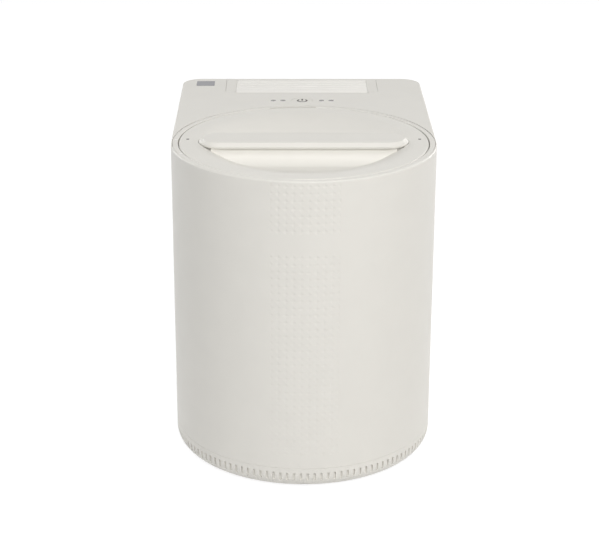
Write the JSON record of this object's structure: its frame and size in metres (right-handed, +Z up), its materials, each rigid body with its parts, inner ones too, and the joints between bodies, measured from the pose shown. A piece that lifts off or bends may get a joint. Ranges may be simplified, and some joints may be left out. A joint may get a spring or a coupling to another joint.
{
  "type": "electric food waste composter",
  "caption": "Countertop electric food waste composter with a twist-lock lid, lift-out stirred bucket, heated well, fan and carbon filter.",
  "frame": {"origin": "on the floor under the middle of the case", "axes": "+Z up, front towards -Y, +X to the right seen from the front"},
  "size_m": [0.28, 0.4, 0.3436],
  "materials": {
    "shell_plastic": "fine satin moulding, warm light grey",
    "lid_plastic": "fine satin moulding, warm light grey",
    "grille_plastic": "satin moulding, paler grey",
    "inner_plastic": "moulded glass-filled plastic",
    "liner_plastic": "heat-proof moulding",
    "filter_plastic": "white moulding",
    "carbon": "packed carbon grains",
    "foot_rubber": "soft black rubber",
    "gasket_rubber": "grey silicone",
    "screw_steel": "zinc plated",
    "shaft_steel": "ground steel",
    "gear_steel": "hobbed steel",
    "motor_can": "drawn steel can",
    "agitator_metal": "cast, bead blasted",
    "bucket_metal": "dark non-stick coating",
    "well_metal": "drawn sheet",
    "bush_bronze": "sintered bronze",
    "jacket_felt": "mineral felt",
    "board_green": "solder mask",
    "board_part": "moulded packages",
    "light_lens": "dark smoked lens",
    "badge": "dark grey, satin",
    "cable": "cable sheath"
  },
  "bodies": {
    "housing": {"base_pan": "shell_plastic", "rubber_feet": "foot_rubber", "base_screws": "screw_steel", "front_shell": "shell_plastic", "rear_shell": "shell_plastic", "top_deck": "shell_plastic", "rim_ring": "shell_plastic", "badge_plate": "badge", "bucket_well": "well_metal", "insulation_jacket": "jacket_felt", "heater_plate": "well_metal", "thermal_cutout": "screw_steel", "gearbox_case": "inner_plastic", "gearbox_cover": "inner_plastic", "gearbox_screws": "screw_steel", "shaft_bushes": "bush_bronze", "drive_motor": "motor_can", "shaft_seal": "foot_rubber", "control_board": "board_green", "button_switch": "inner_plastic", "indicator_lights": "light_lens", "power_board": "board_green", "board_parts": "board_part", "power_inlet": "inner_plastic", "exhaust_duct": "inner_plastic", "fan_frame": "inner_plastic", "filter_chamber": "inner_plastic", "lid_switch": "inner_plastic", "control_ribbon": "cable", "ribbon_connectors": "inner_plastic", "motor_leads": "cable"},
    "bucket": {"bucket_pot": "bucket_metal", "bucket_bush": "inner_plastic", "fixed_blades": "shaft_steel", "bail_ears": "shaft_steel"},
    "bail": {"bail_handle": "shaft_steel", "bail_grip": "inner_plastic"},
    "agitator": {"agitator": "agitator_metal"},
    "liner": {"lid_liner": "liner_plastic", "lid_gasket": "gasket_rubber"},
    "lid": {"lid_shell": "lid_plastic", "handle_bar": "lid_plastic", "handle_screws": "screw_steel", "liner_screw": "screw_steel"},
    "output": {"output_gear": "gear_steel", "output_shaft": "shaft_steel", "drive_dog": "shaft_steel"},
    "intermediate": {"intermediate_gear": "gear_steel"},
    "motor_rotor": {"motor_pinion": "gear_steel"},
    "fan": {"fan_impeller": "inner_plastic"},
    "button": {"power_button": "shell_plastic"},
    "filter": {"filter_cartridge": "filter_plastic", "carbon_media": "carbon", "filter_pull_tab": "filter_plastic"},
    "cover": {"filter_cover": "shell_plastic", "filter_grille": "grille_plastic"}
  },
  "joints": [
    {"name": "bucket_lift", "type": "slide", "parent": "housing", "child": "bucket", "axis": [0, 0, 1], "range_m": [0, 0.26]},
    {"name": "agitator_turn", "type": "hinge", "parent": "bucket", "child": "agitator", "pos_m": [0, -0.06, 0.1], "axis": [0, 0, 1], "continuous": true},
    {"name": "bail_swing", "type": "hinge", "parent": "bucket", "child": "bail", "pos_m": [0, -0.06, 0.276], "axis": [-1, 0, 0], "range_deg": [0, 90]},
    {"name": "lid_lift", "type": "slide", "parent": "bucket", "child": "liner", "axis": [0, 0, 1], "range_m": [0, 0.2]},
    {"name": "lid_twist", "type": "hinge", "parent": "liner", "child": "lid", "pos_m": [0, -0.06, 0.3], "axis": [0, 0, 1], "range_deg": [0, 20]},
    {"name": "output_turn", "type": "hinge", "parent": "housing", "child": "output", "pos_m": [0, -0.06, 0.03], "axis": [0, 0, 1], "continuous": true},
    {"name": "intermediate_turn", "type": "hinge", "parent": "housing", "child": "intermediate", "pos_m": [0, 0.015, 0.02], "axis": [0, 0, 1], "continuous": true},
    {"name": "motor_turn", "type": "hinge", "parent": "housing", "child": "motor_rotor", "pos_m": [0, 0.054, 0.02], "axis": [0, 0, 1], "continuous": true},
    {"name": "fan_turn", "type": "hinge", "parent": "housing", "child": "fan", "pos_m": [0, 0.166, 0.16], "axis": [0, 0, 1], "continuous": true},
    {"name": "button_press", "type": "slide", "parent": "housing", "child": "button", "axis": [0, 0, -1], "range_m": [0, 0.0012], "stiffness_N_per_m": 400},
    {"name": "filter_lift", "type": "slide", "parent": "housing", "child": "filter", "axis": [0, 0, 1], "range_m": [0, 0.16]},
    {"name": "cover_lift", "type": "slide", "parent": "filter", "child": "cover", "axis": [0, 0, 1], "range_m": [0, 0.06]}
  ],
  "couplings": [
    {"joint": "output_turn", "follows": "agitator_turn", "ratio": 1},
    {"joint": "intermediate_turn", "follows": "agitator_turn", "ratio": -4},
    {"joint": "motor_turn", "follows": "agitator_turn", "ratio": 13.333},
    {"joint": "bail_swing", "follows": "lid_lift", "rad_per_m": 7.853}
  ]
}
